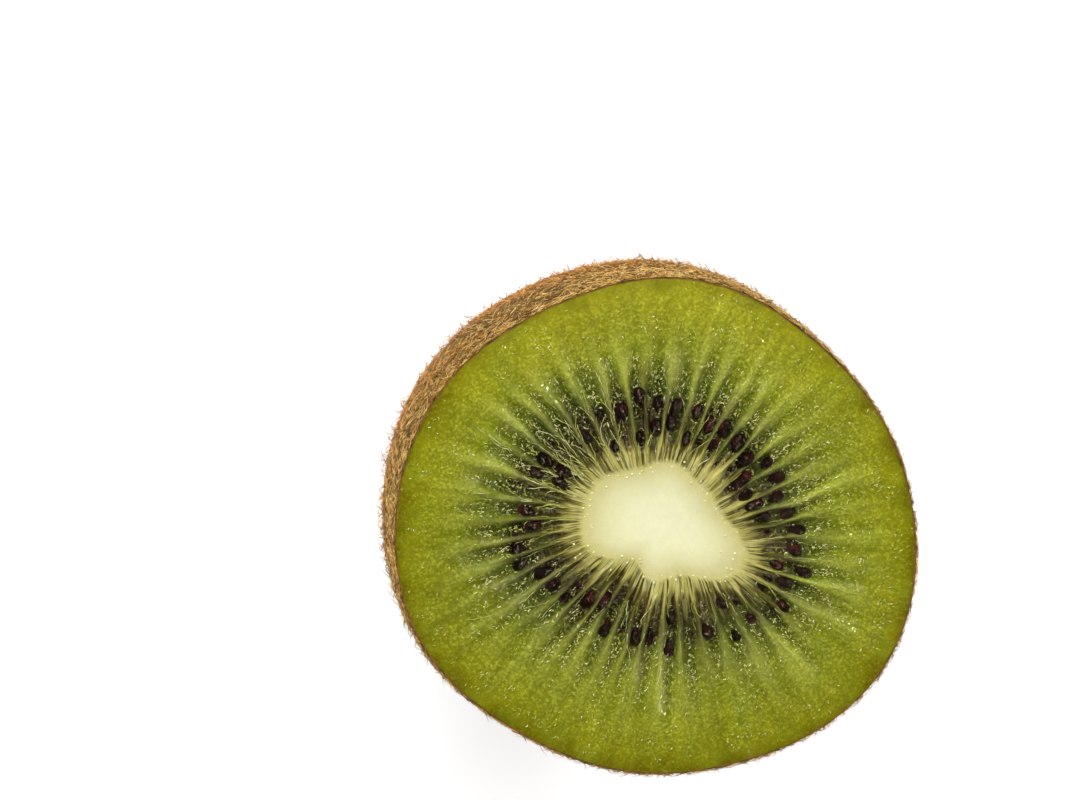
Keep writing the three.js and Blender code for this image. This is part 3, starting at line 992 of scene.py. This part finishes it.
class KIWI_OT_fibres(bpy.types.Operator):
    """Torn wet membrane and painted glints on the cut face: short squiggles, long threads along walls and
    films round seeds, all pale to near white.
    """

    bl_idname = "kiwi.fibres"
    bl_label = "Wet fibres"

    def execute(self, context):
        shape = in_mm(context.scene.kiwi_shape)
        rng = np.random.default_rng(19)
        # Short squiggles lie in the chambers, and beyond them short dashes in loose clusters: pale threads
        # that are painted glints as well as membrane.
        count, in_chambers, steps = 6800, 1800, 4
        k = rng.integers(0, CHAMBERS, count)
        f = rng.triangular(0.12, 0.5, 0.88, count)
        turn = PLAN["walls"][k] * (1 - f) + PLAN["walls"][k + 1] * f
        across = rng.triangular(0.2, 0.4, 0.72, count)
        lonely = np.arange(count) >= in_chambers
        turn[lonely] = rng.uniform(0, 2 * np.pi, lonely.sum())
        across[lonely] = rng.uniform(0.35, 0.96, lonely.sum())
        x, y = np.moveaxis(cut_point(turn, across, shape), -1, 0)
        sparse = 0.6 + 0.2 * chamber_masks(turn, across)[1]
        keep = ~lonely | (value_noise(x / 1.6 + 40, y / 1.6 + 40, 61) > sparse)
        turn, across, count = turn[keep], across[keep], keep.sum()
        turns = np.concatenate([rng.normal(0, 0.55, (count, 1)), rng.normal(0, 0.6, (count, steps - 2))], 1)
        lengths = rng.uniform(0.05, 0.15, count)
        radii = rng.uniform(0.028, 0.072, count)[:, None] * np.array([0.6, 1.0, 0.8, 0.0])
        shade = rng.uniform(0, 1, count) ** 1.5 + np.where(lonely[keep], 0.0, 0.15)
        lie_on_face("wet_squiggles", turn, across, turns, lengths, radii, shade, shape)
        # Long threads along the walls, many of them in a bright bunch on one side: membrane and painted
        # highlights.
        count, steps, bunch = 240, 12, 100
        k = np.concatenate([rng.integers(*BUNCH_CHAMBERS, bunch), rng.integers(0, CHAMBERS, count - bunch)])
        turn = PLAN["walls"][k] + rng.normal(0, 0.018, count)
        across = rng.uniform(0.0, 0.3, count) + 0.3 * (rng.random(count) < 0.22)
        turns = rng.normal(0, 0.2, (count, steps - 1))
        turns[:, 1:] -= 0.5 * turns[:, :-1]
        lengths = rng.uniform(0.1, 0.32, count)
        radii = rng.uniform(0.02, 0.05, count)[:, None] * rng.uniform(0.2, 1.2, (count, steps))
        shade = np.where(np.arange(count) < bunch, rng.uniform(0.5, 1, count), rng.uniform(0, 0.8, count))
        lie_on_face("wet_threads", turn, across, turns, lengths, radii, shade, shape)
        # Juice films pull up round the seeds: arcs of an ellipse a little larger than the seed, pale as
        # painted highlights round each seed.
        middle, axes = seed_frames(shape)
        k = np.repeat(np.arange(len(middle)), 3)
        count, steps = len(k), 8
        begin, span = rng.uniform(0, 2 * np.pi, count), rng.uniform(0.3, 1.1, count)
        angle = begin[:, None] + span[:, None] * np.linspace(0, 1, steps)
        grown = rng.uniform(1.04, 1.3, count)[:, None, None]
        arc = np.cos(angle)[..., None] * axes[k, None, 0] + np.sin(angle)[..., None] * axes[k, None, 1]
        paths = middle[k, None] + arc * grown
        paths[..., 2] = shape.height - 0.2 + rng.uniform(-0.1, 0.1, count)[:, None]
        paths += rng.normal(0, 0.035, (count, steps, 3))
        radii = rng.uniform(0.02, 0.045, count)[:, None] * np.sin(np.linspace(0.3, np.pi, steps))
        points, faces, per = strands(paths, radii, np.tile([0, 0, 1.0], (count, 1)))
        shade = np.repeat(rng.uniform(0.2, 1, count), per)
        put_mesh("seed_films", points, faces, material_of("seed_film", membrane_and_glint), {"shade": shade})
        return {"FINISHED"}


def hairs(name, count, band, spread, bends, rise, shape, fuzz, rng, material):
    """One band of hair: curly needles on the side between two distances from the cut.

    Headings spread about the two ways round the fruit, and each bend turns at random. A hair rises from the
    skin by `rise` times its length at most, and by more further down.
    """
    length_table, wide, _ = side_profile(shape)
    inside = np.linspace(*band, 400)
    share = np.cumsum(np.interp(inside, length_table, wide))
    down = np.interp(rng.random(count) * share[-1], share, inside)
    turn = rng.uniform(0, 2 * np.pi, count)
    root = side_point(turn, down, shape, shape.rind / 2)
    normal = side_normal(turn, down, shape)
    along = unit(np.cross([0, 0, 1.0], normal))
    up = np.cross(normal, along)
    heading = rng.normal(0, spread, count) + np.pi * rng.integers(0, 2, count)
    curl = rng.normal(0, 0.85, (bends, count))
    length = fuzz.length * rng.uniform(0.55, 1.4, count)
    # Most hairs lie nearly flat; one in eight sticks out.
    lift = rng.uniform(0.05, 0.3, count) + (rng.random(count) < 0.13) * rng.uniform(0.2, 0.9, count)
    lift = np.minimum(lift, rise + 0.1 * down)
    paths = [root]
    angle = heading
    for step in range(bends):
        angle = angle + curl[step]
        sway = np.cos(angle)[:, None] * along + np.sin(angle)[:, None] * up
        climb = lift * (1.0, 0.7, -0.1)[step]
        paths.append(paths[-1] + (sway + normal * climb[:, None]) * (length / bends)[:, None])
    paths = np.stack(paths, 1)
    paths[..., 2] = np.clip(paths[..., 2], 0.05, shape.height + 0.1)
    taper = np.interp(np.linspace(0, 1, bends + 1), [0, 0.67, 1], [1.0, 0.6, 0.0])
    radii = 0.5 * fuzz.width * rng.uniform(0.7, 1.15, count)[:, None] * taper
    points, faces, per = strands(paths, radii, normal)
    tone = np.clip(rng.normal(0.54, 0.32, count), 0, 1)
    # Painted shade: each hair is darker at the root, where the fur shades it, and paler at the tip.
    root_shade_pale_tip = np.append(np.repeat(np.linspace(-0.2, 0.1, bends), 3), 0.2)
    shade = np.clip(tone[:, None] + root_shade_pale_tip, 0, 1)
    put_mesh(name, points, faces, material, {"shade": shade.ravel(), "down": np.repeat(down, per)})


class KIWI_OT_fuzz(bpy.types.Operator):
    """The fuzz: matted hairs in bands round the rind, combed along the cut edge and tangled below."""

    bl_idname = "kiwi.fuzz"
    bl_label = "Fuzz"

    def execute(self, context):
        shape, fuzz = in_mm(context.scene.kiwi_shape), in_mm(context.scene.kiwi_fuzz)
        material = material_of("dry_plant_hair", plant_hair, context.scene.kiwi_colours)
        rng = np.random.default_rng(fuzz.seed)
        length = side_profile(shape)[0][-1]
        # Each band's name, hairs, start and end in mm from the cut, spread of headings, bends and rise.
        bands = (
            ("fuzz_edge", fuzz.edge_count, (0.1, 0.7), 1.2, 2, 0.5),
            ("fuzz_rim", fuzz.upper_count, (0.03, 5.5), 0.8, 3, 0.14),
            ("fuzz_upper", fuzz.upper_count, (5, 14), 0.9, 3, 0.14),
            ("fuzz_lower", fuzz.lower_count, (13.5, 25), 1.2, 2, 0.14),
            ("fuzz_base", fuzz.base_count, (24, length - 0.5), 1.5, 2, 0.14),
        )
        for band in bands:
            hairs(*band, shape, fuzz, rng, material)
        return {"FINISHED"}


# ---- Stage ----

FRAME_PX = (1066, 800)  # the camera frame's size
FACE_PX = (660, 533)  # where the fruit's axis meets the cut face in that frame
PX_PER_MM = 10.35  # at the cut face
VIEW_DISTANCE = 500.0  # from the camera to the cut face
SENSOR = 36.0  # the sensor's width
FACE_TILT = np.radians(20)  # between the view and the cut face's normal
FACE_LEAN = np.radians(-47)  # which way the normal leans in the frame
LONG_AXIS = np.radians(-30)  # direction of +X in the frame
GLINTS = ((20, 15), (75, 11), (100, 20), (150, 12), (170, 22), (250, 15), (320, 18))  # side and lean, degrees


def camera_axes():
    """The camera's right, up and back axes in the object's frame, from how the face is seen."""
    normal = np.array([*on_circle(FACE_LEAN, np.sin(FACE_TILT)), np.cos(FACE_TILT)])
    x = np.array([np.cos(LONG_AXIS), np.sin(LONG_AXIS), 0.0])
    x[2] = -(x @ normal) / normal[2]
    x = unit(x)
    return np.stack([x, np.cross(normal, x), normal], 1)  # rows: right, up, back


def put_light(name, way, face, distance, size, power):
    """Add a round lamp that looks at the face from a direction, with lengths in m."""
    light = bpy.data.lights.new(name, "AREA")
    light.shape = "DISK"
    light.size = size
    light.energy = power
    lamp = bpy.data.objects.new(name, light)
    lamp.location = Vector(face * MM) + Vector(way) * distance
    lamp.rotation_euler = Vector(way).to_track_quat("Z", "Y").to_euler()
    bpy.context.scene.collection.objects.link(lamp)
    return lamp


class KIWI_OT_stage(bpy.types.Operator):
    """The stage: a pale floor, soft lights round the camera and the camera itself."""

    bl_idname = "kiwi.stage"
    bl_label = "Stage"

    def execute(self, context):
        scene = context.scene
        shape = in_mm(scene.kiwi_shape)
        axes = camera_axes()
        focal_px = PX_PER_MM * VIEW_DISTANCE
        aim = np.array([FACE_PX[0] - FRAME_PX[0] / 2, FRAME_PX[1] / 2 - FACE_PX[1], -focal_px]) / focal_px
        face = np.array([*fruit_axis(shape), shape.height])
        place = (face - axes.T @ (aim * VIEW_DISTANCE)) * MM
        lens = bpy.data.cameras.new("camera")
        lens.sensor_width = SENSOR
        lens.lens = SENSOR * focal_px / FRAME_PX[0]
        lens.clip_start, lens.clip_end = 0.01, 10.0
        camera = bpy.data.objects.new("camera", lens)
        camera.matrix_world = Matrix.Translation(Vector(place)) @ Matrix(axes.T.tolist()).to_4x4()
        scene.collection.objects.link(camera)
        scene.camera = camera

        floor_mesh = bpy.data.meshes.new("floor")
        corners = [(-3, -3, 0), (3, -3, 0), (3, 3, 0), (-3, 3, 0)]
        floor_mesh.from_pydata(corners, [], [(0, 1, 2, 3)])
        floor_mesh.materials.append(material_of("white_paper", white_paper))
        floor = bpy.data.objects.new("floor", floor_mesh)
        scene.collection.objects.link(floor)

        # Soft lights, each by its direction in the camera's axes (right, up, towards the camera), distance
        # and diameter in m, and power in W. They and the sky aren't mirrored, as behind a polariser.
        for name, towards, distance, size, power in (
            ("key", (-0.15, 0.75, 0.75), 0.9, 0.5, 7.0),
            ("left", (-0.9, 0.1, 0.6), 1.2, 0.6, 7.0),
            ("right", (0.85, 0.45, 0.5), 1.2, 0.5, 6.0),
        ):
            lamp = put_light(name, axes.T @ unit(np.array(towards)), face, distance, size, power)
            lamp.visible_glossy = False
        # Small lights that only glint: each is mirrored where the wet face leans so far towards its side.
        view = axes[2]
        for number, (side, steep) in enumerate(np.radians(GLINTS)):
            lean = np.array([*on_circle(side, np.sin(steep)), np.cos(steep)])
            lamp = put_light(f"glint_{number}", 2 * (lean @ view) * lean - view, face, 0.8, 0.06, 1.1)
            lamp.data.color = (1.0, 0.95, 0.58)
            lamp.visible_diffuse = False

        world = bpy.data.worlds.new("studio")
        world.use_nodes = True
        world.node_tree.nodes["Background"].inputs["Color"].default_value = (1, 1, 1, 1)
        world.node_tree.nodes["Background"].inputs["Strength"].default_value = 0.25
        world.cycles_visibility.glossy = False
        scene.world = world
        scene.view_settings.view_transform = "Standard"
        return {"FINISHED"}


class KIWI_PT_panel(bpy.types.Panel):
    """Lists the pieces and their settings."""

    bl_label = "Kiwi fruit half"
    bl_space_type = "VIEW_3D"
    bl_region_type = "UI"
    bl_category = "Kiwi"

    def draw(self, context):
        for group in (context.scene.kiwi_shape, context.scene.kiwi_fuzz, context.scene.kiwi_colours):
            box = self.layout.box()
            for key in group.bl_rna.properties.keys():
                if key not in ("rna_type", "name"):
                    box.prop(group, key)
        for operator in OPERATORS:
            self.layout.operator(operator.bl_idname)


GROUPS = {"kiwi_shape": KiwiShape, "kiwi_fuzz": KiwiFuzz, "kiwi_colours": KiwiColours}
OPERATORS = (
    KIWI_OT_flesh,
    KIWI_OT_core,
    KIWI_OT_rind,
    KIWI_OT_scar,
    KIWI_OT_seeds,
    KIWI_OT_bundles,
    KIWI_OT_fibres,
    KIWI_OT_fuzz,
    KIWI_OT_stage,
)


def register():
    """Add the settings, operators and panel to Blender."""
    for item in (*GROUPS.values(), *OPERATORS, KIWI_PT_panel):
        bpy.utils.register_class(item)
    for name, group in GROUPS.items():
        setattr(bpy.types.Scene, name, PointerProperty(type=group))


def unregister():
    """Take them away again."""
    for name in GROUPS:
        delattr(bpy.types.Scene, name)
    for item in reversed((*GROUPS.values(), *OPERATORS, KIWI_PT_panel)):
        bpy.utils.unregister_class(item)


def main():
    """Register, and build every piece and the stage."""
    register()
    bpy.ops.kiwi.flesh()
    bpy.ops.kiwi.core()
    bpy.ops.kiwi.rind()
    bpy.ops.kiwi.scar()
    bpy.ops.kiwi.seeds()
    bpy.ops.kiwi.bundles()
    bpy.ops.kiwi.fibres()
    bpy.ops.kiwi.fuzz()
    bpy.ops.kiwi.stage()


if __name__ == "__main__":
    main()
